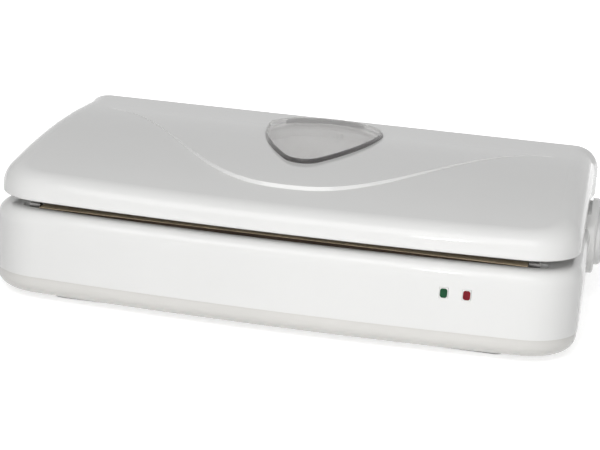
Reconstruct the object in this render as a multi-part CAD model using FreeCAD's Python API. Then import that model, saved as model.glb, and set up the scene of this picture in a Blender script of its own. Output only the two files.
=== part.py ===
import FreeCAD, Part
import math
import os

V = FreeCAD.Vector

# Driving sizes of the vacuum sealer, in millimetres
BASE_HALF = 185.0
FRONT_Y = -106.0
REAR_Y = 106.0
FRONT_BOW = 9.0
BASE_R_FRONT = 36.0
BASE_R_REAR = 28.0
WALL = 2.6
FOOT_H = 4.0
FOOT_W = 14.0
COVER_R = 9.0
PARTING_Z = 16.4
PARTING_STEP = 0.5
DECK_Z = 58.0
DECK_T = 3.0
SHOULDER_R = 9.0

# Lid form
HEIGHT = 97.0
RIM_Z = DECK_Z + 6.6
LID_WALL = 2.4
LID_REAR_HALF = BASE_HALF + 1.4
LID_WAIST_HALF = BASE_HALF - 2.5
LID_WAIST_Y = REAR_Y - 24.0
LID_FRONT_HALF = BASE_HALF - 3.5
LID_R_FRONT = 34.0
LID_R_REAR = 18.0
LID_R_WAIST = 40.0
LID_EDGE_R = 0.463 * (HEIGHT - RIM_Z)
LID_REAR_R = 4.0
LID_TRIM = 10.0
RIM_R = 1.2
CROWN_Y = 60.0
CROWN_DROP = 0.59 * (HEIGHT - RIM_Z)
CROWN_R = (CROWN_Y - FRONT_Y) ** 2 / (2.0 * CROWN_DROP)

# Wave on the lid
WAVE_HALF = BASE_HALF - 30.0
WAVE_FRONT_Y = FRONT_Y + 35.0
WAVE_REAR_Y = CROWN_Y - 11.0
WAVE_RISE_DEG = 0.9
WAVE_POWER = 1.22
WAVE_SLANT = 0.5

# Window in the lid
WINDOW_HALF = 39.4
WINDOW_WIDE_Y = REAR_Y - 49.0
WINDOW_LEN = 97.6
WINDOW_REAR_BULGE = 34.5
WINDOW_SIDE_BULGE = 10.1
WINDOW_R_SIDE = 14.0
WINDOW_R_APEX = 14.0
LENS_PROUD = 3.0
LENS_SEAT = 1.2
LENS_LEDGE = 2.5
WELL_WALL = 1.6
WELL_DEPTH = 10.4

# Hinge
HINGE_Y = REAR_Y - 10.0
HINGE_Z = RIM_Z + 5.4
HINGE_X = BASE_HALF - 65.0
KNUCKLE_R = 5.0
KNUCKLE_W = 20.0
EAR_W = 4.0
PIN_R = 3.0

# Sealing line
CHANNEL_INSET = 10.5
CHANNEL_HALF = BASE_HALF - 21.0
CHANNEL_FLOOR = DECK_Z - 6.0
BAR_Y = FRONT_Y + 23.5
BAR_W = 8.0
BAR_HALF = BASE_HALF - 33.0
WIRE_W = 3.0
WIRE_T = 0.2
TAPE_W = 10.5
TAPE_T = 0.3
CLAMP_LEN = 6.5
CLAMP_W = 5.0
CLAMP_TOP = DECK_Z + 2.4

# Vacuum chamber
TROUGH_HALF = BASE_HALF - 35.0
TROUGH_FRONT = FRONT_Y + 40.0
TROUGH_REAR = TROUGH_FRONT + 34.0
TROUGH_FLOOR = DECK_Z - 14.0
TROUGH_WALL = 1.8
FLANGE_W = 7.0
FLANGE_T = 1.5
GASKET_W = 4.0
PANEL_Z = RIM_Z + 1.4
PANEL_T = 2.4
PANEL_REAR = HINGE_Y - 12.0
GASKET_MEET = DECK_Z + 5.0

# Side buttons and latches
BUTTON_Y = REAR_Y - 40.0
BUTTON_Z = DECK_Z - 14.0
BUTTON_A = 27.0
BUTTON_B = 19.0
BEZEL = 6.0
BEZEL_OUT = BASE_HALF + 4.0
BUTTON_OUT = BEZEL_OUT + 5.0
BUTTON_TRAVEL = 3.0
POCKET_X = BEZEL_OUT - 3.8
STEM_Y = 12.0
STEM_Z0 = BUTTON_Z - 11.0
STEM_Z1 = BUTTON_Z - 2.0
CATCH_Y = 10.0
CATCH_W = 11.0
CATCH_X = BASE_HALF - 27.5
CATCH_T = 4.0
CATCH_FOOT = STEM_Z1 + 6.0
NOSE = 4.5

# Lamps
LAMP_X = (BASE_HALF - 79.6, BASE_HALF - 66.0)
LAMP_Z = DECK_Z - 17.7
LAMP_W = 5.2
LAMP_H = 6.6
LAMP_PROUD = 0.7

# Lid switches
SWITCH_X = BASE_HALF - 85.0
SWITCH_Y = 20.0
PLUNGER_R = 2.5
PLUNGER_TOP = DECK_Z + 2.8
PLUNGER_TRAVEL = 1.5

# Works in the base
MOTOR_X0 = 78.0
MOTOR_LEN = 52.0
MOTOR_R = 17.0
PUMP_Y = 42.0
PUMP_Z = 27.0
PUMP_LEN = 36.0
SHAFT_R = 2.5
NOZZLE_Y = TROUGH_FRONT + 17.0
HOSE_R = 5.0
HOSE_BORE = 4.04
HOSE_BEND = 8.0 * (TROUGH_FLOOR - PUMP_Z) / 17.0

# Transformer
CORE_X = -110.0
CORE_Y = 44.0
CORE_LEN = 64.0
CORE_DEEP = 22.0
CORE_SEAT = 10.0
CORE_H = DECK_Z - CORE_SEAT - 8.0
CORE_LEG = 11.0
CORE_FOOT = 10.0

# Cord entry at the rear
GLAND_AT = (45.0 - BASE_HALF, 30.0)
GLAND_R = 8.0
GLAND_DEEP = 2.0

# Clearances
TOUCH = 0.05
RUN = 0.06
SLIDE_GAP = 0.3
CURVE_GAP = 0.4

FLOOR_Z = FOOT_H + 2.4
COVER_INSET = PARTING_STEP
SCREW_X = BASE_HALF - 35.0
CASE_SCREWS = [(side * x, y) for side in (1, -1)
               for x, y in ((SCREW_X, FRONT_Y + 22.0), (SCREW_X, REAR_Y - 20.0), (50.0, REAR_Y - 16.0))]
LID_SCREWS = [(side * x, y) for side in (1, -1)
              for x, y in ((BASE_HALF - 20.0, TROUGH_REAR + 2.0), (BASE_HALF - 20.0, REAR_Y - 42.0),
                           (70.0, TROUGH_REAR + 20.0), (70.0, REAR_Y - 36.0))]


def box(x0, x1, y0, y1, z0, z1):
    return Part.makeBox(x1 - x0, y1 - y0, z1 - z0, V(x0, y0, z0))


def cyl(radius, start, axis, length):
    return Part.makeCylinder(radius, length, V(*start), V(*axis))


def fuse_all(shapes):
    return shapes[0].multiFuse(shapes[1:]).removeSplitter()


def cut_all(shape, tools):
    return shape.cut(Part.makeCompound(tools))


def mirrored(shape):
    return shape.mirror(V(0, 0, 0), V(1, 0, 0))


def both_ends(shape):
    return Part.makeCompound([shape, mirrored(shape)])


def upright_edges(shape, x_abs, y):
    found = []
    for edge in shape.Edges:
        a = edge.Vertexes[0].Point
        b = edge.Vertexes[-1].Point
        level = abs(a.x - b.x) + abs(a.y - b.y)
        if level < 0.001 and abs(abs(a.x) - x_abs) < 0.01 and abs(a.y - y) < 0.01:
            found.append(edge)
    return found


def edges_between(shape, z0, z1):
    return [e for e in shape.Edges if e.BoundBox.ZMin > z0 and e.BoundBox.ZMax < z1]


def round_box(x0, x1, y0, y1, z0, z1, radius):
    body = box(x0, x1, y0, y1, z0, z1)
    uprights = [e for e in body.Edges if e.BoundBox.ZLength > z1 - z0 - 0.001]
    return body.makeFillet(radius, uprights)


def bowed_block(sides, front_y, z0, z1):
    # Right-hand corner points from rear to front, mirrored, and closed by the bowed front
    right = [V(x, y, z0) for x, y in sides]
    left = [V(-x, y, z0) for x, y in reversed(sides)]
    edges = [Part.makeLine(left[-1], right[0])]
    for chain in (right, left):
        for a, b in zip(chain, chain[1:]):
            edges.append(Part.makeLine(a, b))
    edges.append(Part.Arc(right[-1], V(0, front_y, z0), left[0]).toShape())
    wire = Part.Wire(Part.__sortEdges__(edges))
    return Part.Face(wire).extrude(V(0, 0, z1 - z0))


def base_block(inset, z0, z1):
    half = BASE_HALF - inset
    rear = REAR_Y - inset
    corner = FRONT_Y + FRONT_BOW + inset
    body = bowed_block([(half, rear), (half, corner)], FRONT_Y + inset, z0, z1)
    body = body.makeFillet(BASE_R_FRONT - inset, upright_edges(body, half, corner))
    return body.makeFillet(BASE_R_REAR - inset, upright_edges(body, half, rear))


def front_at(x):
    return FRONT_Y + FRONT_BOW * (x / BASE_HALF) ** 2


def lid_block(inset, z0, z1, over=0.0):
    rear = REAR_Y - inset + over
    corner = FRONT_Y + FRONT_BOW + inset
    rows = [(LID_REAR_HALF - inset, rear, LID_R_REAR - inset),
            (LID_WAIST_HALF - inset, LID_WAIST_Y, LID_R_WAIST),
            (LID_FRONT_HALF - inset, corner, LID_R_FRONT - inset)]
    body = bowed_block([(x, y) for x, y, r in rows], FRONT_Y + inset, z0, z1)
    for x, y, radius in rows:
        body = body.makeFillet(radius, upright_edges(body, x, y))
    return body


def crown(drop, rise_deg=0.0):
    # Everything below the side line of the lid: level at the rear, one long arc to the front
    top = HEIGHT - drop
    reach = -FRONT_Y + 60.0
    span = CROWN_Y + reach
    sag = CROWN_R - math.sqrt(CROWN_R ** 2 - span ** 2)
    half = math.sqrt(CROWN_R ** 2 - (span / 2) ** 2)
    wide = BASE_HALF + 40.0
    a = V(-wide, REAR_Y + 40.0, top)
    b = V(-wide, CROWN_Y, top)
    m = V(-wide, CROWN_Y - span / 2, top - CROWN_R + half)
    c = V(-wide, -reach, top - sag)
    d = V(-wide, -reach, 0)
    e = V(-wide, REAR_Y + 40.0, 0)
    edges = [Part.makeLine(a, b), Part.Arc(b, m, c).toShape(), Part.makeLine(c, d), Part.makeLine(d, e)]
    edges.append(Part.makeLine(e, a))
    solid = Part.Face(Part.Wire(edges)).extrude(V(2 * wide, 0, 0))
    solid.rotate(V(0, CROWN_Y, HEIGHT), V(1, 0, 0), -rise_deg)
    return solid


def lid_body(inset, z0):
    # Rounded all along the rim, then trimmed flat at the rear where the edge is tighter
    body = lid_block(inset, z0, HEIGHT + 20.0, LID_TRIM).common(crown(inset)).removeSplitter()
    rim = []
    for edge in body.Edges:
        box_ = edge.BoundBox
        seam = abs(box_.YMin - CROWN_Y) < 0.01 and abs(box_.YMax - CROWN_Y) < 0.01
        if box_.ZMin > z0 + 2.0 and not seam:
            rim.append(edge)
    rear = REAR_Y - inset
    body = body.makeFillet(LID_EDGE_R - inset, rim)
    body = body.cut(box(-2 * BASE_HALF, 2 * BASE_HALF, rear, rear + 90.0, z0 - 1.0, HEIGHT + 50.0))
    tight = [e for e in body.Edges if e.BoundBox.YMin > rear - 0.01 and e.BoundBox.ZMax > z0 + 0.1]
    return body.makeFillet(LID_REAR_R - inset, tight)


def wave_wedge():
    count = 25
    low = RIM_Z + 6.0
    lift = HEIGHT + 6.0 - low
    shift = -WAVE_SLANT * (HEIGHT - 9.0 - low)
    points = []
    for i in range(count):
        x = WAVE_HALF * (2.0 * i / (count - 1) - 1.0)
        s = abs(x) / WAVE_HALF
        swing = 0.5 - 0.5 * math.cos(math.pi * s ** WAVE_POWER)
        points.append(V(x, WAVE_FRONT_Y + (WAVE_REAR_Y - WAVE_FRONT_Y) * swing + shift, low))
    curve = Part.BSplineCurve()
    curve.interpolate(points)
    back = CROWN_Y + 8.0
    c = V(WAVE_HALF, back, low)
    d = V(-WAVE_HALF, back, low)
    edges = [curve.toShape(), Part.makeLine(points[-1], c), Part.makeLine(c, d), Part.makeLine(d, points[0])]
    block = Part.Face(Part.Wire(edges)).extrude(V(0, WAVE_SLANT * lift, lift))
    return block.common(crown(0.0, WAVE_RISE_DEG))


def circle_of(a, m, b):
    curve = Part.Arc(a, m, b).toShape().Curve
    return curve.Center, curve.Radius


def meet(first, second, near):
    # Crossing of two circles that lies closest to a given point
    (p, r), (q, s) = first, second
    span = q - p
    gap = span.Length
    along = (gap ** 2 + r ** 2 - s ** 2) / (2 * gap)
    off = math.sqrt(r ** 2 - along ** 2)
    span.normalize()
    foot = p + span * along
    normal = V(-span.y, span.x, 0) * off
    return min((foot + normal, foot - normal), key=lambda v: (v - near).Length)


def shield(grow, z0, z1):
    # Bulged shield of the window, round end to the rear, grown evenly by a set amount
    a = V(-WINDOW_HALF, WINDOW_WIDE_Y, z0)
    b = V(WINDOW_HALF, WINDOW_WIDE_Y, z0)
    c = V(0, WINDOW_WIDE_Y - WINDOW_LEN, z0)
    mid_y = WINDOW_WIDE_Y - WINDOW_LEN / 2
    out = WINDOW_HALF / 2 + WINDOW_SIDE_BULGE
    corners = (a, b, c)
    mids = (V(0, WINDOW_WIDE_Y + WINDOW_REAR_BULGE, z0), V(out, mid_y, z0), V(-out, mid_y, z0))
    rims = []
    for i in range(3):
        centre, radius = circle_of(corners[i], mids[i], corners[(i + 1) % 3])
        rims.append((centre, radius + grow))
    ends = [meet(rims[i - 1], rims[i], corners[i]) for i in range(3)]
    edges = []
    for i in range(3):
        centre, radius = rims[i]
        tip = mids[i] - centre
        tip.normalize()
        edges.append(Part.Arc(ends[i], centre + tip * radius, ends[(i + 1) % 3]).toShape())
    body = Part.Face(Part.Wire(edges)).extrude(V(0, 0, z1 - z0))
    for i, radius in enumerate((WINDOW_R_SIDE, WINDOW_R_SIDE, WINDOW_R_APEX)):
        found = upright_edges(body, abs(ends[i].x), ends[i].y)
        picked = [e for e in found if abs(e.Vertexes[0].X - ends[i].x) < 0.01]
        body = body.makeFillet(radius + grow, picked)
    return body


def ellipse_x(a, b, x0, x1):
    # Upright oval at the right-hand button
    curve = Part.Ellipse(V(0, 0, 0), a, b)
    face = Part.Face(Part.Wire(curve.toShape()))
    face.rotate(V(0, 0, 0), V(1, 0, 0), 90)
    face.rotate(V(0, 0, 0), V(0, 0, 1), 90)
    face.translate(V(x0, BUTTON_Y, BUTTON_Z))
    return face.extrude(V(x1 - x0, 0, 0))


def make_lid_shell():
    outer = lid_body(0.0, RIM_Z)
    low = [e for e in outer.Edges if e.BoundBox.ZMax < RIM_Z + 0.01]
    outer = outer.makeFillet(RIM_R, low)
    shell = outer.fuse(wave_wedge()).cut(lid_body(LID_WALL, RIM_Z - 1.0))
    ears = []
    bosses = []
    for side in (-1, 1):
        for edge in (-1, 1):
            inner = side * HINGE_X + edge * (KNUCKLE_W / 2 + SLIDE_GAP)
            x0 = min(inner, inner + edge * EAR_W)
            ears.append(box(x0, x0 + EAR_W, HINGE_Y - 6.0, REAR_Y - 1.0, RIM_Z + 0.8, HEIGHT - 1.0))
    for x, y in LID_SCREWS:
        bosses.append(cyl(4.5, (x, y, PANEL_Z + PANEL_T), (0, 0, 1), HEIGHT - PANEL_Z))
    inside = lid_body(LID_WALL / 2, RIM_Z)
    posts = [s.common(inside) for s in ears + bosses]
    shell = fuse_all([shell] + posts)
    tools = []
    for side in (-1, 1):
        half = KNUCKLE_W / 2 + SLIDE_GAP
        x0 = side * HINGE_X - half
        tools.append(box(x0, x0 + 2 * half, HINGE_Y + KNUCKLE_R, REAR_Y + 5.0, RIM_Z - 5.0, HINGE_Z + 12.0))
        tools.append(cyl(PIN_R + 0.02, (x0 - 10.0, HINGE_Y, HINGE_Z), (1, 0, 0), 2 * half + 20.0))
    for x, y in LID_SCREWS:
        tools.append(cyl(1.5 + 0.02, (x, y, PANEL_Z), (0, 0, 1), PANEL_T + 12.0))
    tools.append(shield(0.15, RIM_Z, HEIGHT + 10.0).cut(crown(LENS_SEAT, WAVE_RISE_DEG)))
    tools.append(shield(-LENS_LEDGE, RIM_Z, HEIGHT + 10.0))
    return cut_all(shell, tools)


def make_window_lens():
    body = shield(0.0, RIM_Z, HEIGHT + 10.0).common(crown(-LENS_PROUD, WAVE_RISE_DEG))
    body = body.cut(crown(LENS_SEAT, WAVE_RISE_DEG))
    top = [e for e in body.Edges if e.CenterOfMass.z > crown_top(e.CenterOfMass.y) + 1.0]
    return body.makeFillet(1.6, [e for e in top if e.BoundBox.ZLength < 12.0 and not is_upright(e)])


def crown_top(y):
    return HEIGHT if y > CROWN_Y else HEIGHT - (CROWN_Y - y) ** 2 / (2 * CROWN_R)


def is_upright(edge):
    return edge.BoundBox.XLength + edge.BoundBox.YLength < 0.5


def make_window_well():
    drop = LID_WALL + TOUCH
    body = shield(-LENS_LEDGE + WELL_WALL, RIM_Z, HEIGHT).common(crown(drop))
    body = body.cut(crown(WELL_DEPTH + WELL_WALL))
    hollow = shield(-LENS_LEDGE, RIM_Z, HEIGHT + 5.0).cut(crown(WELL_DEPTH))
    post = cyl(2.0, (6.0, WINDOW_WIDE_Y + WINDOW_REAR_BULGE - 10.0, HEIGHT - WELL_DEPTH - 0.5), (0, 0, 1), 5.0)
    return fuse_all([body.cut(hollow), post])


def make_lid_inner_panel():
    plate = lid_block(LID_WALL + 0.5, PANEL_Z, PANEL_Z + PANEL_T)
    plate = plate.common(box(-200, 200, -200, PANEL_REAR, PANEL_Z - 1, PANEL_Z + 10))
    pips = []
    for side in (-1, 1):
        foot = (side * SWITCH_X, SWITCH_Y, PLUNGER_TOP + 0.4)
        pips.append(cyl(3.5, foot, (0, 0, 1), PANEL_Z - PLUNGER_TOP))
    ribs = [box(-140, 140, y, y + 1.6, PANEL_Z + 1, PANEL_Z + PANEL_T + 3.0) for y in (-80.0, -56.0)]
    plate = fuse_all([plate] + pips + ribs)
    return cut_all(plate, [cyl(1.65, (x, y, PANEL_Z - 1), (0, 0, 1), PANEL_T + 2) for x, y in LID_SCREWS])


def make_lid_screws():
    screws = []
    for x, y in LID_SCREWS:
        head = cyl(3.2, (x, y, PANEL_Z - 1.8), (0, 0, 1), 1.8)
        screws.append(head.fuse(cyl(1.5, (x, y, PANEL_Z - 0.1), (0, 0, 1), PANEL_T + 10.0)))
    return Part.makeCompound(screws)


def ring(half, front, rear, width, z0, z1, radius):
    outer = round_box(-half - width, half + width, front - width, rear + width, z0, z1, radius + width)
    return outer.cut(round_box(-half, half, front, rear, z0 - 1, z1 + 1, radius))


GASKET_HALF = TROUGH_HALF + 1.0


def make_upper_gasket():
    return ring(GASKET_HALF, TROUGH_FRONT - 1, TROUGH_REAR + 1, GASKET_W, GASKET_MEET + 0.1, PANEL_Z, 10.0)


def make_lower_gasket():
    low = DECK_Z + FLANGE_T
    return ring(GASKET_HALF, TROUGH_FRONT - 1, TROUGH_REAR + 1, GASKET_W, low, GASKET_MEET, 10.0)


def make_vacuum_trough():
    gap = SLIDE_GAP
    half = TROUGH_HALF - gap
    front = TROUGH_FRONT + gap
    rear = TROUGH_REAR - gap
    tub = round_box(-half, half, front, rear, TROUGH_FLOOR, DECK_Z + FLANGE_T, 9.0)
    low = [e for e in tub.Edges if e.BoundBox.ZMax < TROUGH_FLOOR + 0.01]
    tub = tub.makeFillet(5.0, low)
    flange = round_box(-half - FLANGE_W, half + FLANGE_W, front - FLANGE_W, rear + FLANGE_W,
                       DECK_Z, DECK_Z + FLANGE_T, 16.0)
    wall = TROUGH_WALL
    hollow = round_box(-half + wall, half - wall, front + wall, rear - wall,
                       TROUGH_FLOOR + wall, DECK_Z + 9, 7.2)
    floor_edges = [e for e in hollow.Edges if e.BoundBox.ZMax < TROUGH_FLOOR + wall + 0.01]
    hollow = hollow.makeFillet(3.5, floor_edges)
    port = cyl(4.0 + 0.02, (MOTOR_X0 - PUMP_LEN / 2, NOZZLE_Y, TROUGH_FLOOR - 2), (0, 0, 1), 12.0)
    return cut_all(tub.fuse(flange), [hollow, port])


def make_pressure_strip():
    body = box(-BAR_HALF, BAR_HALF, BAR_Y - BAR_W / 2, BAR_Y + BAR_W / 2, CLAMP_TOP + 0.4, PANEL_Z)
    low = [e for e in body.Edges if e.BoundBox.ZMax < CLAMP_TOP + 0.41 and e.BoundBox.XLength > 10]
    return body.makeFillet(1.5, low)


def hook_nose(points, y0, y1):
    # Wedge drawn in the XZ plane and carried along Y
    outline = [V(x, y0, z) for x, z in points]
    return Part.Face(Part.makePolygon(outline + outline[:1])).extrude(V(0, y1 - y0, 0))


def make_lid_catches():
    y0 = CATCH_Y - CATCH_W / 2
    y1 = CATCH_Y + CATCH_W / 2
    post = box(CATCH_X, CATCH_X + CATCH_T, y0, y1, CATCH_FOOT, PANEL_Z)
    tip = CATCH_X - NOSE
    root = CATCH_X + 0.5
    nose = hook_nose([(root, CATCH_FOOT), (tip + 2, CATCH_FOOT), (tip, CATCH_FOOT + 2),
                      (tip, CATCH_FOOT + 4.5), (root, CATCH_FOOT + 4.5)], y0, y1)
    foot = box(CATCH_X - 4, CATCH_X + CATCH_T + 4, y0, y1, PANEL_Z - 2.0, PANEL_Z)
    return both_ends(fuse_all([post, nose, foot]))


def make_hinge_pins():
    half = KNUCKLE_W / 2 + SLIDE_GAP + EAR_W
    pins = [cyl(PIN_R, (s * HINGE_X - half, HINGE_Y, HINGE_Z), (1, 0, 0), 2 * half) for s in (-1, 1)]
    return Part.makeCompound(pins)


def hinge_knuckles():
    parts = []
    bores = []
    for side in (-1, 1):
        x0 = side * HINGE_X - KNUCKLE_W / 2
        stand = box(x0, x0 + KNUCKLE_W, HINGE_Y - KNUCKLE_R, HINGE_Y + KNUCKLE_R, DECK_Z - 2.0, HINGE_Z)
        parts.append(stand.fuse(cyl(KNUCKLE_R, (x0, HINGE_Y, HINGE_Z), (1, 0, 0), KNUCKLE_W)))
        bores.append(cyl(PIN_R + RUN, (x0 - 1, HINGE_Y, HINGE_Z), (1, 0, 0), KNUCKLE_W + 2))
    return parts, bores


def button_cheek():
    # Oval bezel on the right-hand end, with a pocket that the button sinks into
    a = BUTTON_A + BEZEL
    b = BUTTON_B + BEZEL
    inner_x = LID_WAIST_HALF + 1.5
    plate = ellipse_x(a, b, inner_x, BEZEL_OUT)
    rim = [e for e in plate.Edges if e.BoundBox.XMin > BEZEL_OUT - 0.01]
    plate = plate.makeFillet(2.0, rim)
    root = ellipse_x(a, b, BASE_HALF - SHOULDER_R, inner_x + 1.0)
    root = root.common(box(0, 300, -200, 200, DECK_Z - SHOULDER_R, RIM_Z - 1.6))
    pocket = ellipse_x(BUTTON_A + CURVE_GAP, BUTTON_B + CURVE_GAP, POCKET_X, BEZEL_OUT + 5)
    room = STEM_Y / 2 + SLIDE_GAP
    stem = box(BASE_HALF - 30, BEZEL_OUT, BUTTON_Y - room, BUTTON_Y + room,
               STEM_Z0 - SLIDE_GAP, STEM_Z1 + SLIDE_GAP)
    return plate, root, pocket, stem


def switch_cradles():
    ribs = []
    for side in (-1, 1):
        for edge in (-1, 1):
            x = side * SWITCH_X + edge * (10.0 + TOUCH)
            x0 = min(x, x + edge * 2.0)
            ribs.append(box(x0, x0 + 2.0, SWITCH_Y - 4.0, SWITCH_Y + 4.0, switch_top() - 11.0, DECK_Z - 1.0))
    return ribs


def make_upper_housing():
    outer = base_block(0.0, PARTING_Z, DECK_Z)
    outer = outer.makeFillet(SHOULDER_R, edges_between(outer, DECK_Z - 0.01, DECK_Z + 0.01))
    inner = base_block(WALL, PARTING_Z - 1.0, DECK_Z - DECK_T)
    inner = inner.makeFillet(SHOULDER_R - WALL, edges_between(inner, DECK_Z - DECK_T - 0.01, DECK_Z))
    shell = outer.cut(inner)
    bar_rear = BAR_Y + BAR_W / 2 + 2.0
    beam_half = CHANNEL_HALF + 3
    beam = outer.common(box(-beam_half, beam_half, -200, bar_rear + 2.4, CHANNEL_FLOOR - 2.4, 99))
    knuckles, bores = hinge_knuckles()
    plate, root, pocket, stem = button_cheek()
    adds = [beam, plate, root, mirrored(plate), mirrored(root)] + knuckles + switch_cradles()
    for x, y in CASE_SCREWS:
        adds.append(cyl(4.5, (x, y, PARTING_Z + 4.0), (0, 0, 1), DECK_Z - PARTING_Z - 5.0).common(outer))
    for x in (LAMP_X[0] - 9.0, LAMP_X[1] + 9.0):
        y = front_at(x) + 1.5
        adds.append(cyl(2.5, (x, y, LAMP_Z), (0, 1, 0), lamp_board_y() - y - TOUCH))
    x, z = GLAND_AT
    adds.append(cyl(GLAND_R + 3.0, (x, REAR_Y - 8.0, z), (0, 1, 0), 7.0))
    shell = fuse_all([shell] + adds)
    channel = base_block(CHANNEL_INSET, CHANNEL_FLOOR, DECK_Z + 5)
    channel = channel.common(box(-CHANNEL_HALF, CHANNEL_HALF, -200, bar_rear, 0, 99))
    tools = [channel, pocket, stem, mirrored(pocket), mirrored(stem)] + bores
    tools.append(round_box(-TROUGH_HALF, TROUGH_HALF, TROUGH_FRONT, TROUGH_REAR, DECK_Z - 9, DECK_Z + 9, 9.3))
    slot = box(CATCH_X - NOSE - 1.5, CATCH_X + CATCH_T + 1.5,
               CATCH_Y - CATCH_W / 2 - 4, CATCH_Y + CATCH_W / 2 + 3, DECK_Z - 9, DECK_Z + 9)
    tools += [slot, mirrored(slot)]
    for side in (-1, 1):
        tools.append(cyl(PLUNGER_R + RUN, (side * SWITCH_X, SWITCH_Y, DECK_Z - 9), (0, 0, 1), 18.0))
    for x in LAMP_X:
        w = LAMP_W / 2 + 0.1
        h = LAMP_H / 2 + 0.1
        tools.append(box(x - w, x + w, FRONT_Y - 5, front_at(x) + 6, LAMP_Z - h, LAMP_Z + h))
    for x, y in CASE_SCREWS:
        tools.append(cyl(1.75 + 0.02, (x, y, PARTING_Z), (0, 0, 1), 18.0))
    x, z = GLAND_AT
    tools.append(cyl(5.0 + 0.02, (x, REAR_Y - 12, z), (0, 1, 0), 24.0))
    tools.append(cyl(GLAND_R + SLIDE_GAP, (x, REAR_Y - GLAND_DEEP, z), (0, 1, 0), 24.0))
    return cut_all(shell, tools)


def make_bottom_cover():
    outer = base_block(COVER_INSET, FOOT_H, PARTING_Z)
    outer = outer.makeFillet(COVER_R, edges_between(outer, FOOT_H - 0.01, FOOT_H + 0.01))
    inner = base_block(COVER_INSET + WALL, FLOOR_Z, PARTING_Z + 1.0)
    inner = inner.makeFillet(COVER_R - WALL, edges_between(inner, FLOOR_Z - 0.01, FLOOR_Z + 0.01))
    shell = outer.cut(inner)
    adds = []
    low = FLOOR_Z - 1.0
    for x, y in CASE_SCREWS:
        adds.append(cyl(5.5, (x, y, low), (0, 0, 1), PARTING_Z + 4.0 - low))
    for x in (MOTOR_X0 + 12.0, MOTOR_X0 + MOTOR_LEN - 12.0):
        saddle = box(x - 2, x + 2, PUMP_Y - MOTOR_R, PUMP_Y + MOTOR_R, low, PUMP_Z - 4.0)
        adds.append(saddle.cut(cyl(MOTOR_R + TOUCH, (x - 9, PUMP_Y, PUMP_Z), (1, 0, 0), 18.0)))
    pump_x = MOTOR_X0 - PUMP_LEN
    adds.append(box(pump_x + 4, MOTOR_X0 - 4, PUMP_Y - 12, PUMP_Y + 12, low, PUMP_Z - MOTOR_R - TOUCH))
    for x in (CORE_X - CORE_LEN / 2 + 5.0, CORE_X + CORE_LEN / 2 - 5.0):
        adds.append(box(x - 4, x + 4, CORE_Y - 20, CORE_Y + 20, low, CORE_SEAT))
    for x in (-36.0, 36.0):
        for y in (-24.0, 24.0):
            adds.append(cyl(3.0, (x - 20.0, y, low), (0, 0, 1), 14.0 - low))
    shell = fuse_all([shell] + adds)
    tools = []
    for x, y in CASE_SCREWS:
        tools.append(cyl(4.2, (x, y, FOOT_H - 1), (0, 0, 1), 4.6))
        tools.append(cyl(1.9, (x, y, FOOT_H - 1), (0, 0, 1), 30.0))
    for i in range(7):
        tools.append(box(-60.0 + 10 * i, -56.0 + 10 * i, -10.0, 30.0, FOOT_H - 1, FLOOR_Z + 1))
    return cut_all(shell, tools)


def make_case_screws():
    screws = []
    for x, y in CASE_SCREWS:
        head = cyl(3.6, (x, y, FOOT_H + 1.1), (0, 0, 1), 2.5)
        screws.append(head.fuse(cyl(1.75, (x, y, FOOT_H + 3.0), (0, 0, 1), 26.0)))
    return Part.makeCompound(screws)


def make_foot_strips():
    strips = []
    half = BASE_HALF - 42.0
    for y in (FRONT_Y + 22.0, REAR_Y - 42.0):
        strip = round_box(-half, half, y, y + FOOT_W, 0.0, FOOT_H, FOOT_W / 2 - 1.0)
        strips.append(strip.makeFillet(1.2, edges_between(strip, -0.01, 0.01)))
    return Part.makeCompound(strips)


def make_sealing_bar():
    top = DECK_Z - WIRE_T
    return box(-BAR_HALF, BAR_HALF, BAR_Y - BAR_W / 2, BAR_Y + BAR_W / 2, CHANNEL_FLOOR, top)


def make_heating_wire():
    reach = BAR_HALF + CLAMP_LEN - 1.5
    return box(-reach, reach, BAR_Y - WIRE_W / 2, BAR_Y + WIRE_W / 2, DECK_Z - WIRE_T, DECK_Z)


def make_sealing_tape():
    return box(-BAR_HALF, BAR_HALF, BAR_Y - TAPE_W / 2, BAR_Y + TAPE_W / 2, DECK_Z, DECK_Z + TAPE_T)


def make_wire_clamps():
    x0 = BAR_HALF + 0.6
    y0 = BAR_Y - CLAMP_W / 2
    block = box(x0, x0 + CLAMP_LEN, y0, y0 + CLAMP_W, CHANNEL_FLOOR, CLAMP_TOP)
    block = block.makeChamfer(0.8, [e for e in block.Edges if e.BoundBox.ZMin > CLAMP_TOP - 0.01])
    slot = box(x0 - 1, x0 + CLAMP_LEN - 1, BAR_Y - WIRE_W / 2 - TOUCH, BAR_Y + WIRE_W / 2 + TOUCH,
               DECK_Z - WIRE_T - TOUCH, DECK_Z + TOUCH)
    return both_ends(block.cut(slot))


def make_button():
    x0 = POCKET_X + BUTTON_TRAVEL + 0.2
    cap = ellipse_x(BUTTON_A, BUTTON_B, x0, BUTTON_OUT)
    cap = cap.makeFillet(4.0, [e for e in cap.Edges if e.BoundBox.XMin > BUTTON_OUT - 0.01])
    stem = box(latch_x(), x0 + 1, BUTTON_Y - STEM_Y / 2, BUTTON_Y + STEM_Y / 2, STEM_Z0, STEM_Z1)
    return fuse_all([cap, stem])


def latch_x():
    return BASE_HALF - WALL - 0.1


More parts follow.
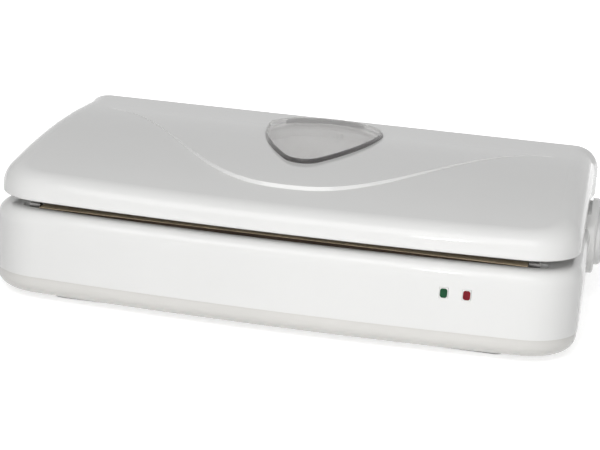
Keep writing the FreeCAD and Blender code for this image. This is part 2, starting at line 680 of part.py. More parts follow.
def make_latch_hook():
    x1 = latch_x()
    y0 = CATCH_Y - CATCH_W / 2 - 1
    y1 = CATCH_Y + CATCH_W / 2 + 1
    tip = CATCH_FOOT - 0.6
    root = CATCH_X - NOSE - 5.5
    bar = box(x1 - 5.0, x1, y0, BUTTON_Y + STEM_Y, STEM_Z0 - 1, STEM_Z1 + 1)
    arm = box(root, x1 - 1.0, y0, y1, STEM_Z0, STEM_Z0 + 4)
    stand = box(root, root + 3.5, y0, y1, STEM_Z0, tip)
    nose = hook_nose([(root + 1, tip), (root + 6, tip), (root + 8, tip - 2),
                      (root + 8, tip - 3.6), (root + 1, tip - 3.6)], y0, y1)
    return fuse_all([bar, arm, stand, nose])


def make_switch_bodies():
    bodies = []
    for side in (-1, 1):
        x = side * SWITCH_X
        bodies.append(box(x - 10, x + 10, SWITCH_Y - 3.5, SWITCH_Y + 3.5, switch_top() - 10.0, switch_top()))
    return Part.makeCompound(bodies)


def switch_top():
    return DECK_Z - DECK_T - 7.0


def make_switch_plunger():
    under = DECK_Z - DECK_T
    shaft = cyl(PLUNGER_R, (SWITCH_X, SWITCH_Y, under - 2), (0, 0, 1), PLUNGER_TOP - under + 2)
    shaft = shaft.makeFillet(0.8, edges_between(shaft, PLUNGER_TOP - 0.01, PLUNGER_TOP + 0.01))
    flange = cyl(4.0, (SWITCH_X, SWITCH_Y, under - 2.05), (0, 0, 1), 2.0)
    stem = cyl(1.5, (SWITCH_X, SWITCH_Y, switch_top() + PLUNGER_TRAVEL + 0.3), (0, 0, 1), 4.0)
    return fuse_all([shaft, flange, stem])


def lamp_board_y():
    return front_at(LAMP_X[0]) + WALL + 6.5


def make_lamp(index):
    x = LAMP_X[index]
    front = front_at(x) - LAMP_PROUD
    half_w = LAMP_W / 2
    half_h = LAMP_H / 2
    lens = box(x - half_w, x + half_w, front, lamp_board_y(), LAMP_Z - half_h, LAMP_Z + half_h)
    face = [e for e in lens.Edges if e.BoundBox.YMax < front + 0.01]
    return lens.makeFillet(0.5, face)


def make_lamp_board():
    y = lamp_board_y()
    return box(LAMP_X[0] - 14, LAMP_X[1] + 14, y, y + 1.6, LAMP_Z - 14, LAMP_Z + 8)


def make_pump_motor():
    can = cyl(MOTOR_R, (MOTOR_X0, PUMP_Y, PUMP_Z), (1, 0, 0), MOTOR_LEN)
    can = can.makeFillet(2.0, [e for e in can.Edges if e.BoundBox.XMin > MOTOR_X0 + MOTOR_LEN - 0.01])
    boss = cyl(6.0, (MOTOR_X0 + MOTOR_LEN - 1, PUMP_Y, PUMP_Z), (1, 0, 0), 4.0)
    tabs = [box(MOTOR_X0 + MOTOR_LEN - 1, MOTOR_X0 + MOTOR_LEN + 6, PUMP_Y + y - 2, PUMP_Y + y + 2,
                PUMP_Z - 0.4, PUMP_Z + 0.4) for y in (-11.0, 11.0)]
    bore = cyl(SHAFT_R + RUN, (MOTOR_X0 - 1, PUMP_Y, PUMP_Z), (1, 0, 0), MOTOR_LEN)
    return fuse_all([can, boss] + tabs).cut(bore)


def make_pump_head():
    x0 = MOTOR_X0 - PUMP_LEN
    r = MOTOR_R
    block = box(x0, MOTOR_X0, PUMP_Y - r, PUMP_Y + r, PUMP_Z - r, PUMP_Z + r)
    block = block.makeFillet(5.0, [e for e in block.Edges if e.BoundBox.XLength > PUMP_LEN - 0.1])
    mid = x0 + PUMP_LEN / 2
    stub = cyl(4.0, (mid, PUMP_Y - r - 12.0, PUMP_Z), (0, 1, 0), 14.0)
    outlet = cyl(3.0, (mid, PUMP_Y + r - 2.0, PUMP_Z), (0, 1, 0), 12.0)
    chamber = cyl(13.0, (x0 + 6, PUMP_Y, PUMP_Z), (1, 0, 0), PUMP_LEN - 12)
    neck = cyl(SHAFT_R + RUN, (x0 + 8, PUMP_Y, PUMP_Z), (1, 0, 0), PUMP_LEN)
    bore_in = cyl(2.5, (mid, PUMP_Y - r - 13.0, PUMP_Z), (0, 1, 0), r + 4.0)
    bore_out = cyl(1.8, (mid, PUMP_Y, PUMP_Z), (0, 1, 0), r + 14.0)
    return cut_all(fuse_all([block, stub, outlet]), [chamber, neck, bore_in, bore_out])


def make_pump_rotor():
    x0 = MOTOR_X0 - PUMP_LEN + 6
    rotor = cyl(11.0, (x0 + 0.3, PUMP_Y, PUMP_Z), (1, 0, 0), PUMP_LEN - 12.6)
    slots = []
    for i in range(4):
        slot = box(x0 - 1, x0 + PUMP_LEN, PUMP_Y + 6.0, PUMP_Y + 14.0, PUMP_Z - 0.8, PUMP_Z + 0.8)
        slot.rotate(V(0, PUMP_Y, PUMP_Z), V(1, 0, 0), 90.0 * i)
        slots.append(slot)
    shaft = cyl(SHAFT_R, (x0 + 5, PUMP_Y, PUMP_Z), (1, 0, 0), PUMP_LEN - 11 + MOTOR_LEN - 6)
    return fuse_all([cut_all(rotor, slots), shaft])


def make_suction_nozzle():
    x = MOTOR_X0 - PUMP_LEN / 2
    tube = cyl(4.0, (x, NOZZLE_Y, TROUGH_FLOOR - 8), (0, 0, 1), 8.0 + TROUGH_WALL + 1.0)
    collar = cyl(6.0, (x, NOZZLE_Y, TROUGH_FLOOR - 2.0), (0, 0, 1), 2.0)
    return fuse_all([tube, collar]).cut(cyl(2.5, (x, NOZZLE_Y, 0), (0, 0, 1), 99.0))


def make_vacuum_hose():
    x = MOTOR_X0 - PUMP_LEN / 2
    top = TROUGH_FLOOR - 4.0
    end = PUMP_Y - MOTOR_R - 2.0
    r = HOSE_BEND
    s = r * math.sqrt(0.5)
    a = V(x, NOZZLE_Y, top)
    b = V(x, NOZZLE_Y, PUMP_Z + r)
    m = V(x, NOZZLE_Y + r - s, PUMP_Z + r - s)
    c = V(x, NOZZLE_Y + r, PUMP_Z)
    d = V(x, end, PUMP_Z)
    path = Part.Wire([Part.makeLine(a, b), Part.Arc(b, m, c).toShape(), Part.makeLine(c, d)])
    tubes = []
    for radius in (HOSE_R, HOSE_BORE):
        profile = Part.Wire(Part.makeCircle(radius, a, V(0, 0, 1)))
        tubes.append(path.makePipeShell([profile], True, True))
    return tubes[0].cut(tubes[1])


def make_transformer_core():
    # Laminated block with two windows for the winding, on two feet
    x0 = CORE_X - CORE_LEN / 2
    x1 = CORE_X + CORE_LEN / 2
    deep = CORE_DEEP / 2
    core = box(x0, x1, CORE_Y - deep, CORE_Y + deep, CORE_SEAT, CORE_SEAT + CORE_H)
    low = CORE_SEAT + CORE_H * 0.25
    high = CORE_SEAT + CORE_H * 0.75
    for a, b in ((x0 + CORE_LEG, CORE_X - CORE_LEG * 7 / 11), (CORE_X + CORE_LEG * 7 / 11, x1 - CORE_LEG)):
        core = core.cut(box(a, b, CORE_Y - 2 * deep, CORE_Y + 2 * deep, low, high))
    feet = []
    for x in (x0, x1 - CORE_FOOT):
        feet.append(box(x, x + CORE_FOOT, CORE_Y - deep - 7, CORE_Y + deep + 7, CORE_SEAT, CORE_SEAT + 2))
    return fuse_all([core] + feet)


def make_transformer_coil():
    half = CORE_LEN / 2 - CORE_LEG - CURVE_GAP
    leg = CORE_LEG * 7 / 11 + CURVE_GAP / 2
    deep = CORE_DEEP / 2
    low = CORE_SEAT + CORE_H * 0.25 + CURVE_GAP
    high = CORE_SEAT + CORE_H * 0.75 - CURVE_GAP
    body = round_box(CORE_X - half, CORE_X + half, CORE_Y - deep - 7, CORE_Y + deep + 7, low, high, 6.0)
    return body.cut(box(CORE_X - leg, CORE_X + leg, CORE_Y - deep - CURVE_GAP, CORE_Y + deep + CURVE_GAP,
                        low - 1, high + 1))


def make_control_board():
    return box(-64.0, 24.0, -30.0, 30.0, 14.0, 15.6)


def make_board_parts():
    parts = [box(-50.0, -30.0, -20.0, -4.0, 15.6, 31.0), cyl(6.0, (0.0, 12.0, 15.6), (0, 0, 1), 20.0),
             box(-16.0, 4.0, -18.0, -8.0, 15.6, 20.0), box(-50.0, -40.0, 8.0, 22.0, 15.6, 25.0)]
    return Part.makeCompound(parts)


def make_cord_gland():
    x, z = GLAND_AT
    flange = cyl(GLAND_R, (x, REAR_Y - GLAND_DEEP, z), (0, 1, 0), GLAND_DEEP)
    flange = flange.makeFillet(0.9, [e for e in flange.Edges if e.BoundBox.YMin > REAR_Y - 0.01])
    body = cyl(5.0, (x, REAR_Y - 12.0, z), (0, 1, 0), 11.0)
    return fuse_all([body, flange]).cut(cyl(3.2, (x, 0, z), (0, 1, 0), 200.0))


def build():
    hook = make_latch_hook()
    button = make_button()
    plunger = make_switch_plunger()
    return {
        "lid_shell": make_lid_shell(),
        "lid_inner_panel": make_lid_inner_panel(),
        "window_lens": make_window_lens(),
        "window_well": make_window_well(),
        "upper_gasket": make_upper_gasket(),
        "pressure_strip": make_pressure_strip(),
        "lid_catches": make_lid_catches(),
        "hinge_pins": make_hinge_pins(),
        "lid_screws": make_lid_screws(),
        "upper_housing": make_upper_housing(),
        "bottom_cover": make_bottom_cover(),
        "foot_strips": make_foot_strips(),
        "case_screws": make_case_screws(),
        "vacuum_trough": make_vacuum_trough(),
        "lower_gasket": make_lower_gasket(),
        "sealing_bar": make_sealing_bar(),
        "heating_wire": make_heating_wire(),
        "sealing_tape": make_sealing_tape(),
        "wire_clamps": make_wire_clamps(),
        "release_button_right": button,
        "release_button_left": mirrored(button),
        "latch_hook_right": hook,
        "latch_hook_left": mirrored(hook),
        "switch_bodies": make_switch_bodies(),
        "switch_plunger_right": plunger,
        "switch_plunger_left": mirrored(plunger),
        "lamp_green": make_lamp(0),
        "lamp_red": make_lamp(1),
        "lamp_board": make_lamp_board(),
        "pump_motor": make_pump_motor(),
        "pump_head": make_pump_head(),
        "pump_rotor": make_pump_rotor(),
        "suction_nozzle": make_suction_nozzle(),
        "vacuum_hose": make_vacuum_hose(),
        "transformer_core": make_transformer_core(),
        "transformer_coil": make_transformer_coil(),
        "control_board": make_control_board(),
        "board_parts": make_board_parts(),
        "cord_gland": make_cord_gland(),
    }


os.makedirs("parts", exist_ok=True)
for node, shape in build().items():
    sound = shape.isValid() and all(s.Volume > 0 for s in shape.Solids)
    print(node, len(shape.Solids), "solids", "sound" if sound else "FAULTY", round(shape.Volume))
    shape.exportStep("parts/" + node + ".step")
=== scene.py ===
"""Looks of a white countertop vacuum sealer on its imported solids: shells, clear window, sealing line, works, stage."""

import math

import bpy
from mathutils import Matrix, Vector


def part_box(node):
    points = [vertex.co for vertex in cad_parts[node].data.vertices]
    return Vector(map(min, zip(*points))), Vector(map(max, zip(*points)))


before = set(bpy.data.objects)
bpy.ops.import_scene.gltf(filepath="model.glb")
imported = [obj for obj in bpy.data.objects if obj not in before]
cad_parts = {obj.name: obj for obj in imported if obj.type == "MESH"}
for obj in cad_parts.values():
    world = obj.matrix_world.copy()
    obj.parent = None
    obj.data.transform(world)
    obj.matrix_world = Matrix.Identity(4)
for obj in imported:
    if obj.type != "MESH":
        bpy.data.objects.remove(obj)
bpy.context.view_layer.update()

bl_info = {
    "name": "Vacuum sealer looks",
    "version": (1, 0, 0),
    "blender": (4, 5, 0),
    "location": "View3D > Sidebar > Sealer",
    "description": "Dresses the solids of a vacuum sealer with procedural materials and sets the stage",
    "category": "Object",
}

# Colour sockets of the mix node, by index because its socket names repeat
MIX_FACTOR, MIX_A, MIX_B, MIX_RESULT = 0, 6, 7, 2

# Cloud values at which the colour ramp starts and ends, and the smoothest surface allowed
CLOUD_LOW, CLOUD_HIGH = 0.3, 0.7
SMOOTHEST = 0.02
BUMP_STRENGTH = 0.6

# Height of the lens's normal below which a face is upright and takes the painted dark edge shade, and above which it
# is flat
LENS_UPRIGHT, LENS_FLAT = 0.75, 0.97

# Pale ring around an indicator lamp's coloured core, and the core's corner radius, in metres
LAMP_RING = 0.0004
LAMP_CORNER = 0.0016

# Floor half width, and the distances over which its white rises from near to far, in metres; the dimmer near white
# shows the real shadow and paints a faint shade ring around the object
FLOOR_HALF = 6.0
FLOOR_NEAR, FLOOR_FAR = 0.22, 0.75

# Each light by its power setting: name, size, place, point it is turned to (metres), and whether the gloss mirrors it
LIGHTS = {
    "key": ("key", (1.3, 0.6), (0.0, -0.85, 0.98), (0.0, -0.05, 0.05), True),
    "fill": ("front_fill", (1.4, 0.6), (0.3, -1.33, 0.34), (0.0, 0.0, 0.06), False),
    "lamp": ("small_lamp", (0.06, 0.05), (0.1, -1.2, 0.8), (0.0, 0.0, 0.06), True),
    "rear": ("rear_fill", (1.6, 0.24), (-0.2, 1.4, 0.15), (0.0, 0.0, 0.05), False),
}

# Camera that matches the photograph: place in metres, turn in degrees, film width in millimetres, nearest and farthest
CAMERA_PLACE = (0.19502, -1.07149, 0.32456)
CAMERA_TURN = (75.521, -4.074, 11.504)
FILM_WIDTH = 36.0
CAMERA_NEAR, CAMERA_FAR = 0.01, 50.0


class SealerShellSettings(bpy.types.PropertyGroup):
    """Colours and surface of the moulded housing"""

    shell: bpy.props.FloatVectorProperty(
        name="Shell", description="Gloss white of the lid and the housing", subtype="COLOR", size=3,
        default=(0.80, 0.80, 0.79))
    # Painted shade: the cover's warmer white is darkened for the shade on the low front, where it curves under
    cover: bpy.props.FloatVectorProperty(
        name="Cover", description="Slightly warmer white of the bottom cover", subtype="COLOR", size=3,
        default=(0.69, 0.68, 0.655))
    gloss: bpy.props.FloatProperty(
        name="Roughness", description="Middle roughness of the gloss plastic", default=0.09, min=0.0, max=1.0,
        subtype="FACTOR")
    ripple: bpy.props.FloatProperty(
        name="Ripple", description="Height of the faint moulding ripple", default=0.00003, unit="LENGTH")


class SealerWindowSettings(bpy.types.PropertyGroup):
    """Colours of the lens and its painted edge shade, and how clear it is"""

    lens: bpy.props.FloatVectorProperty(
        name="Lens", description="Faint tint of the clear plastic", subtype="COLOR", size=3,
        default=(0.80, 0.785, 0.77))
    # Painted shade: dark colour put on the lens's upright side wall
    painted_rim_shade: bpy.props.FloatVectorProperty(
        name="Rim", description="Dark edge of the lens", subtype="COLOR", size=3, default=(0.02, 0.018, 0.018))
    clear: bpy.props.FloatProperty(
        name="Clearness", description="Share of light that passes the lens", default=0.92, min=0.0, max=1.0,
        subtype="FACTOR")
    film: bpy.props.FloatProperty(
        name="Film", description="Density of the flat of the lens", default=0.5, min=0.0, max=1.0, subtype="FACTOR")


class SealerStageSettings(bpy.types.PropertyGroup):
    """Floor, light and camera"""

    floor: bpy.props.FloatVectorProperty(
        name="Floor", description="Pale floor colour", subtype="COLOR", size=3, default=(0.86, 0.86, 0.86))
    key: bpy.props.FloatProperty(
        name="Key light", description="Power of the soft light above the front", default=6.8, unit="POWER")
    fill: bpy.props.FloatProperty(
        name="Fill light", description="Power of the low front fill", default=7.9, unit="POWER")
    lamp: bpy.props.FloatProperty(
        name="Small lamp", description="Power of the small lamp that shows in the gloss", default=1.2, unit="POWER")
    rear: bpy.props.FloatProperty(
        name="Rear light", description="Power of the light on the back", default=6.5, unit="POWER")
    world: bpy.props.FloatProperty(name="Surround", description="Strength of the even surround", default=0.12)
    glow: bpy.props.FloatProperty(
        name="Floor white", description="White that the far floor shows to the camera, glass and gloss", default=0.95)
    # Painted shade: the dimmer white near the object leaves a faint grey ring around it, besides showing its real
    # shadow
    near: bpy.props.FloatProperty(
        name="Near white", description="White of the floor around the object, where its shadow lies", default=0.64)
    lens: bpy.props.FloatProperty(
        name="Focal length", description="Focal length for a 36 mm wide frame", default=102.51, unit="CAMERA")


def add_node(nodes, kind, **settings):
    """New shader node with its settings"""
    node = nodes.new(kind)
    for key, value in settings.items():
        setattr(node, key, value)
    return node


def variation_group():
    """Cloudy factor and fine grain from object coordinates, shared by the moulded and cast surfaces"""
    group = bpy.data.node_groups.get("surface_variation")
    if group:
        return group
    group = bpy.data.node_groups.new("surface_variation", "ShaderNodeTree")
    face = group.interface
    face.new_socket("Cloud Scale", in_out="INPUT", socket_type="NodeSocketFloat").default_value = 18.0
    face.new_socket("Grain Scale", in_out="INPUT", socket_type="NodeSocketFloat").default_value = 900.0
    face.new_socket("Cloud", in_out="OUTPUT", socket_type="NodeSocketFloat")
    face.new_socket("Grain", in_out="OUTPUT", socket_type="NodeSocketFloat")
    nodes, links = group.nodes, group.links
    start = add_node(nodes, "NodeGroupInput")
    end = add_node(nodes, "NodeGroupOutput")
    coords = add_node(nodes, "ShaderNodeTexCoord")
    for out, scale, detail in (("Cloud", "Cloud Scale", 4.0), ("Grain", "Grain Scale", 2.0)):
        noise = add_node(nodes, "ShaderNodeTexNoise")
        noise.inputs["Detail"].default_value = detail
        links.new(coords.outputs["Object"], noise.inputs["Vector"])
        links.new(start.outputs[scale], noise.inputs["Scale"])
        links.new(noise.outputs["Fac"], end.inputs[out])
    return group


def shaded_material(name, colour, rough, spread=0.06, cloud=18.0, grain=900.0, tone=0.05, height=0.00002, **shader):
    """Principled surface with cloudy colour and roughness and a fine bump; constants go on the shader itself"""
    mat = bpy.data.materials.new(name)
    mat.use_nodes = True
    nodes, links = mat.node_tree.nodes, mat.node_tree.links
    bsdf = nodes["Principled BSDF"]
    vary = add_node(nodes, "ShaderNodeGroup", node_tree=variation_group())
    vary.inputs["Cloud Scale"].default_value = cloud
    vary.inputs["Grain Scale"].default_value = grain
    ramp = add_node(nodes, "ShaderNodeValToRGB")
    dark = [c * (1.0 - tone) for c in colour]
    light = [min(1.0, c * (1.0 + tone)) for c in colour]
    for stop, position, shade in zip(ramp.color_ramp.elements, (CLOUD_LOW, CLOUD_HIGH), (dark, light)):
        stop.position = position
        stop.color = (*shade, 1.0)
    spread_node = add_node(nodes, "ShaderNodeMapRange")
    spread_node.inputs["To Min"].default_value = max(SMOOTHEST, rough - spread)
    spread_node.inputs["To Max"].default_value = min(1.0, rough + spread)
    bump = add_node(nodes, "ShaderNodeBump")
    bump.inputs["Distance"].default_value = height
    bump.inputs["Strength"].default_value = BUMP_STRENGTH
    links.new(vary.outputs["Cloud"], ramp.inputs["Fac"])
    links.new(vary.outputs["Cloud"], spread_node.inputs["Value"])
    links.new(vary.outputs["Grain"], bump.inputs["Height"])
    links.new(ramp.outputs["Color"], bsdf.inputs["Base Color"])
    links.new(spread_node.outputs["Result"], bsdf.inputs["Roughness"])
    links.new(bump.outputs["Normal"], bsdf.inputs["Normal"])
    for key, value in shader.items():
        bsdf.inputs[key.replace("_", " ")].default_value = value
    return mat


def dress(mat, *names):
    """Puts the material in every slot of the named nodes"""
    for name in names:
        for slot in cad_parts[name].material_slots:
            slot.material = mat


class SEALER_OT_shells(bpy.types.Operator):
    """Gives the lid, housing, cover and buttons their gloss white, the cover's darkened as painted shade"""

    bl_idname = "sealer.shells"
    bl_label = "Dress shells"

    def execute(self, context):
        look = context.scene.sealer_shell
        white = shaded_material("gloss_white", tuple(look.shell), look.gloss, spread=0.04, cloud=9.0, tone=0.012,
                                grain=420.0, height=look.ripple, Specular_IOR_Level=0.35)
        # Cover: its own warmer white, darkened as painted shade for the low front
        warm = shaded_material("warm_white", tuple(look.cover), look.gloss + 0.08, spread=0.05, cloud=12.0, tone=0.02,
                               grain=700.0, height=look.ripple)
        dress(white, "lid_shell", "upper_housing", "release_button_right", "release_button_left")
        dress(warm, "bottom_cover")
        return {"FINISHED"}


def paint_lens_edge_shade(mat, painted_rim_shade, film):
    """Painted shade: dark and dense where the surface stands upright, standing in for the thick side wall of the lens;
    clear as a film on the flats
    """
    nodes, links = mat.node_tree.nodes, mat.node_tree.links
    bsdf = nodes["Principled BSDF"]
    base = bsdf.inputs["Base Color"]
    plain = base.links[0].from_socket
    coords = add_node(nodes, "ShaderNodeTexCoord")
    split = add_node(nodes, "ShaderNodeSeparateXYZ")
    upward = add_node(nodes, "ShaderNodeMapRange", interpolation_type="SMOOTHSTEP")
    upward.inputs["From Min"].default_value = LENS_UPRIGHT
    upward.inputs["From Max"].default_value = LENS_FLAT
    blend = add_node(nodes, "ShaderNodeMix", data_type="RGBA")
    # Painted shade on the upright faces of the lens
    blend.inputs[MIX_A].default_value = (*painted_rim_shade, 1.0)
    links.new(coords.outputs["Normal"], split.inputs["Vector"])
    either = add_node(nodes, "ShaderNodeMath", operation="ABSOLUTE")
    links.new(split.outputs["Z"], either.inputs[0])
    links.new(either.outputs[0], upward.inputs["Value"])
    links.new(upward.outputs["Result"], blend.inputs[MIX_FACTOR])
    links.new(plain, blend.inputs[MIX_B])
    links.new(blend.outputs[MIX_RESULT], base)
    dense = add_node(nodes, "ShaderNodeMapRange")
    dense.inputs["To Min"].default_value = 1.0
    dense.inputs["To Max"].default_value = film
    links.new(upward.outputs["Result"], dense.inputs["Value"])
    links.new(dense.outputs["Result"], bsdf.inputs["Alpha"])


class SEALER_OT_window(bpy.types.Operator):
    """Clear lens with a painted dark edge shade, the well under it in painted shade, and the satin panels of the
    chamber
    """

    bl_idname = "sealer.window"
    bl_label = "Dress window"

    def execute(self, context):
        look = context.scene.sealer_window
        lens = shaded_material("clear_lens", tuple(look.lens), 0.022, spread=0.004, cloud=30.0, tone=0.02, grain=600.0,
                               height=0.000001, Transmission_Weight=look.clear, IOR=1.46)
        paint_lens_edge_shade(lens, tuple(look.painted_rim_shade), look.film)
        # Painted shade: the white well is given a darker grey for the shade in its recess under the lens
        shaded_well = shaded_material("well_white", (0.46, 0.455, 0.45), 0.4, cloud=30.0, tone=0.02, grain=1500.0)
        satin = shaded_material("satin_white", (0.70, 0.70, 0.69), 0.45, cloud=22.0, tone=0.03, grain=1500.0)
        dress(lens, "window_lens")
        dress(shaded_well, "window_well")
        dress(satin, "lid_inner_panel", "vacuum_trough")
        return {"FINISHED"}


class SEALER_OT_sealing(bpy.types.Operator):
    """Tape, bar, wire, clamps, gaskets and pressure strip in the slot"""

    bl_idname = "sealer.sealing"
    bl_label = "Dress sealing line"

    def execute(self, context):
        tape = shaded_material("tan_tape", (0.80, 0.65, 0.45), 0.5, cloud=60.0, tone=0.12, grain=2600.0,
                               height=0.00008)
        bar = shaded_material("brown_bar", (0.10, 0.07, 0.05), 0.5, cloud=40.0, tone=0.2)
        grey = shaded_material("grey_rubber", (0.13, 0.13, 0.135), 0.65, cloud=50.0, tone=0.15, grain=1800.0)
        dark = shaded_material("dark_rubber", (0.035, 0.033, 0.033), 0.6, cloud=50.0, tone=0.2, grain=1800.0)
        steel = shaded_material("plain_steel", (0.42, 0.41, 0.40), 0.32, cloud=160.0, tone=0.1, grain=1400.0,
                                Metallic=1.0)
        foot = shaded_material("foot_rubber", (0.50, 0.50, 0.49), 0.6, cloud=60.0, tone=0.08, grain=1600.0)
        dress(tape, "sealing_tape")
        dress(bar, "sealing_bar")
        dress(grey, "upper_gasket", "lower_gasket")
        dress(dark, "pressure_strip", "vacuum_hose", "cord_gland")
        dress(steel, "wire_clamps", "heating_wire", "hinge_pins", "lid_screws", "case_screws", "pump_rotor")
        dress(foot, "foot_strips")
        return {"FINISHED"}


def calc(tree, operation, first, second=0.0):
    """One math node on sockets or plain numbers"""
    node = add_node(tree.nodes, "ShaderNodeMath", operation=operation)
    for slot, value in zip(node.inputs, (first, second)):
        if isinstance(value, float):
            slot.default_value = value
        else:
            tree.links.new(value, slot)
    return node.outputs[0]


def pale_surround(mat, node, pale, ring, radius):
    """Leaves the colour in a rounded core of the lamp's face and a pale ring around it"""
    tree = mat.node_tree
    low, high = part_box(node)
    coords = add_node(tree.nodes, "ShaderNodeTexCoord")
    split = add_node(tree.nodes, "ShaderNodeSeparateXYZ")
    tree.links.new(coords.outputs["Object"], split.inputs["Vector"])
    squares = []
    for axis, name in ((0, "X"), (2, "Z")):
        centre = (low[axis] + high[axis]) / 2
        reach = (high[axis] - low[axis]) / 2 - ring - radius
        away = calc(tree, "ABSOLUTE", calc(tree, "SUBTRACT", split.outputs[name], float(centre)))
        past = calc(tree, "MAXIMUM", calc(tree, "SUBTRACT", away, float(reach)), 0.0)
        squares.append(calc(tree, "MULTIPLY", past, past))
    outside = calc(tree, "GREATER_THAN", calc(tree, "SQRT", calc(tree, "ADD", *squares)), radius)
    base = tree.nodes["Principled BSDF"].inputs["Base Color"]
    blend = add_node(tree.nodes, "ShaderNodeMix", data_type="RGBA")
    blend.inputs[MIX_B].default_value = (*pale, 1.0)
    tree.links.new(outside, blend.inputs[MIX_FACTOR])
    tree.links.new(base.links[0].from_socket, blend.inputs[MIX_A])
    tree.links.new(blend.outputs[MIX_RESULT], base)


class SEALER_OT_lamps(bpy.types.Operator):
    """Tinted green and red indicator lamps"""

    bl_idname = "sealer.lamps"
    bl_label = "Dress lamps"

    def execute(self, context):
        for node, colour in (("lamp_green", (0.006, 0.075, 0.028)), ("lamp_red", (0.20, 0.006, 0.014))):
            mat = shaded_material("tint_" + node, colour, 0.16, cloud=220.0, tone=0.25, grain=1800.0,
                                  Specular_IOR_Level=0.2)
            pale_surround(mat, node, tuple(context.scene.sealer_shell.shell), LAMP_RING, LAMP_CORNER)
            dress(mat, node)
        return {"FINISHED"}


class SEALER_OT_works(bpy.types.Operator):
    """Catches, switches, pump, transformer and boards inside the base"""

    bl_idname = "sealer.works"
    bl_label = "Dress works"

    def execute(self, context):
        satin = shaded_material("satin_works", (0.50, 0.50, 0.48), 0.5, cloud=40.0, tone=0.06)
        black = shaded_material("black_works", (0.02, 0.02, 0.02), 0.5, cloud=40.0, tone=0.3)
        board = shaded_material("green_board", (0.02, 0.11, 0.05), 0.4, cloud=120.0, tone=0.3)
        can = shaded_material("plated_can", (0.40, 0.41, 0.42), 0.35, cloud=60.0, tone=0.1, Metallic=1.0)
        core = shaded_material("laminated_core", (0.06, 0.06, 0.065), 0.55, cloud=90.0, tone=0.3, Metallic=0.7)
        coil = shaded_material("copper_coil", (0.40, 0.16, 0.06), 0.4, cloud=300.0, tone=0.3, Metallic=0.8)
        dress(satin, "lid_catches", "latch_hook_right", "latch_hook_left", "switch_plunger_right",
              "switch_plunger_left", "suction_nozzle")
        dress(black, "switch_bodies", "board_parts", "pump_head")
        dress(board, "lamp_board", "control_board")
        dress(can, "pump_motor")
        dress(core, "transformer_core")
        dress(coil, "transformer_coil")
        return {"FINISHED"}


def seen_level(tree, unseen, seen):
    """One level for light on the object, another for what the camera, gloss and glass see"""
    path = add_node(tree.nodes, "ShaderNodeLightPath")
    total = path.outputs["Is Camera Ray"]
    for ray in ("Is Glossy Ray", "Is Transmission Ray"):
        both = add_node(tree.nodes, "ShaderNodeMath", operation="ADD", use_clamp=True)
        tree.links.new(total, both.inputs[0])
        tree.links.new(path.outputs[ray], both.inputs[1])
        total = both.outputs[0]
    level = add_node(tree.nodes, "ShaderNodeMapRange")
    level.inputs["To Min"].default_value = unseen
    level.inputs["To Max"].default_value = seen
    tree.links.new(total, level.inputs["Value"])
    return level.outputs["Result"]


def area_light(name, power, size, place, aim):
    """Rectangular lamp at a place, turned to its aim"""
    data = bpy.data.lights.new(name, "AREA")
    data.energy = power
    data.shape = "RECTANGLE"
    data.size, data.size_y = size
    lamp = bpy.data.objects.new(name, data)
    bpy.context.collection.objects.link(lamp)
    lamp.location = place
    lamp.rotation_euler = (Vector(aim) - Vector(place)).to_track_quat("-Z", "Y").to_euler()
    return lamp


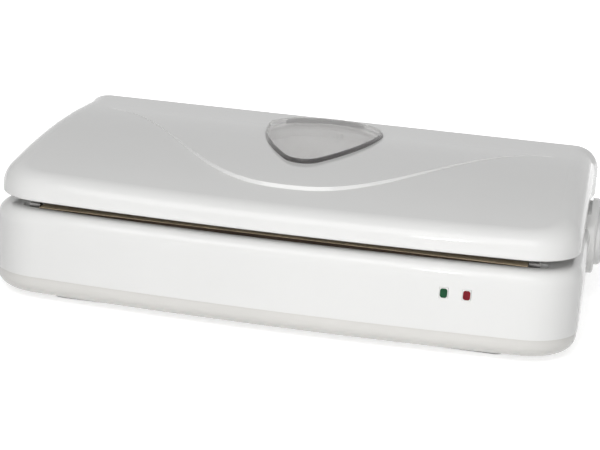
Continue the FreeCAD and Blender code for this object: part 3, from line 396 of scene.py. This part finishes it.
class SEALER_OT_stage(bpy.types.Operator):
    """Pale floor, soft light, white surround and the camera at the photograph's angle"""

    bl_idname = "sealer.stage"
    bl_label = "Set stage"

    def execute(self, context):
        look = context.scene.sealer_stage
        mesh = bpy.data.meshes.new("floor")
        corners = [(x * FLOOR_HALF, y * FLOOR_HALF, 0) for x, y in ((-1, -1), (1, -1), (1, 1), (-1, 1))]
        mesh.from_pydata(corners, [], [(0, 1, 2, 3)])
        floor = bpy.data.objects.new("floor", mesh)
        context.collection.objects.link(floor)
        mat = shaded_material("pale_floor", tuple(look.floor), 0.7, cloud=0.6, tone=0.006, grain=40.0)
        tree = mat.node_tree
        coords = add_node(tree.nodes, "ShaderNodeTexCoord")
        reach = add_node(tree.nodes, "ShaderNodeVectorMath", operation="LENGTH")
        # Painted shade: floor glow lowered near the object, a faint grey ring around it
        spread = add_node(tree.nodes, "ShaderNodeMapRange", interpolation_type="SMOOTHSTEP")
        for key, value in zip(
                ("From Min", "From Max", "To Min", "To Max"), (FLOOR_NEAR, FLOOR_FAR, look.near, look.glow)):
            spread.inputs[key].default_value = value
        tree.links.new(coords.outputs["Object"], reach.inputs[0])
        tree.links.new(reach.outputs["Value"], spread.inputs["Value"])
        white = calc(tree, "MULTIPLY", seen_level(tree, 0.0, 1.0), spread.outputs["Result"])
        tree.links.new(white, tree.nodes["Principled BSDF"].inputs["Emission Strength"])
        mesh.materials.append(mat)
        world = bpy.data.worlds.new("surround")
        context.scene.world = world
        world.use_nodes = True
        back = world.node_tree.nodes["Background"]
        back.inputs["Color"].default_value = (1.0, 1.0, 1.0, 1.0)
        world.node_tree.links.new(seen_level(world.node_tree, look.world, 1.0), back.inputs["Strength"])
        for power, (name, size, place, aim, mirrored) in LIGHTS.items():
            area_light(name, getattr(look, power), size, place, aim).visible_glossy = mirrored
        data = bpy.data.cameras.new("photo_camera")
        data.sensor_width = FILM_WIDTH
        data.sensor_fit = "HORIZONTAL"
        data.lens = look.lens
        data.clip_start, data.clip_end = CAMERA_NEAR, CAMERA_FAR
        camera = bpy.data.objects.new("photo_camera", data)
        context.collection.objects.link(camera)
        camera.location = CAMERA_PLACE
        camera.rotation_euler = [math.radians(v) for v in CAMERA_TURN]
        context.scene.camera = camera
        context.scene.view_settings.view_transform = "Standard"
        return {"FINISHED"}


class SEALER_PT_panel(bpy.types.Panel):
    """Looks of the vacuum sealer"""

    bl_idname = "SEALER_PT_panel"
    bl_label = "Vacuum sealer"
    bl_space_type = "VIEW_3D"
    bl_region_type = "UI"
    bl_category = "Sealer"

    def draw(self, context):
        for name in ("sealer_shell", "sealer_window", "sealer_stage"):
            column = self.layout.column()
            for key in getattr(context.scene, name).__annotations__:
                column.prop(getattr(context.scene, name), key)
        for step in STEPS:
            self.layout.operator(step.bl_idname)


STEPS = (SEALER_OT_shells, SEALER_OT_window, SEALER_OT_sealing, SEALER_OT_lamps, SEALER_OT_works, SEALER_OT_stage)
SETTINGS = {
    "sealer_shell": SealerShellSettings,
    "sealer_window": SealerWindowSettings,
    "sealer_stage": SealerStageSettings,
}
CLASSES = tuple(SETTINGS.values()) + STEPS + (SEALER_PT_panel,)


def register():
    for item in CLASSES:
        bpy.utils.register_class(item)
    for name, kind in SETTINGS.items():
        setattr(bpy.types.Scene, name, bpy.props.PointerProperty(type=kind))


def unregister():
    for name in SETTINGS:
        delattr(bpy.types.Scene, name)
    for item in reversed(CLASSES):
        bpy.utils.unregister_class(item)


def main():
    register()
    bpy.ops.sealer.shells()
    bpy.ops.sealer.window()
    bpy.ops.sealer.sealing()
    bpy.ops.sealer.lamps()
    bpy.ops.sealer.works()
    bpy.ops.sealer.stage()


if __name__ == "__main__":
    main()
